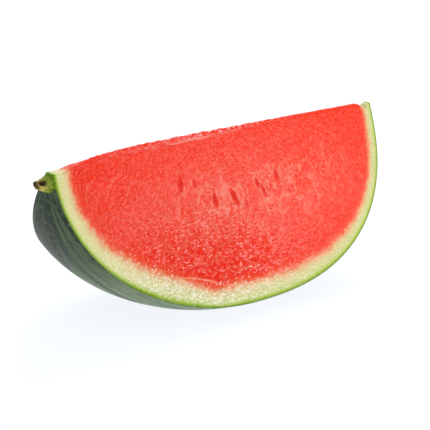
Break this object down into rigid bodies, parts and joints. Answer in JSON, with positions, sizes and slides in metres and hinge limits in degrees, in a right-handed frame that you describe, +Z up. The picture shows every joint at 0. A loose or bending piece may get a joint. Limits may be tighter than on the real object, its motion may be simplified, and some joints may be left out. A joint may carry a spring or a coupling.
{
  "type": "watermelon wedge",
  "caption": "Wedge cut lengthwise from an oval seedless watermelon: flat red cut faces, pale rind band, dark green striped skin, a broken flesh crest and a short dried stem stub.",
  "frame": {"origin": "on the table, under the middle of the whole object's box, with the wedge standing on the ground flat of its curved rind", "axes": "+X along the fruit's core from the stem end to the blossom end, +Z up through the crest, -Y out of the front cut face"},
  "size_m": [0.323, 0.0982, 0.1187],
  "materials": {
    "flesh_and_rind": "moist",
    "dried_stem": "matte"
  },
  "bodies": {
    "root": {"watermelon_wedge": "flesh_and_rind", "stem_stub": "dried_stem"}
  },
  "joints": []
}
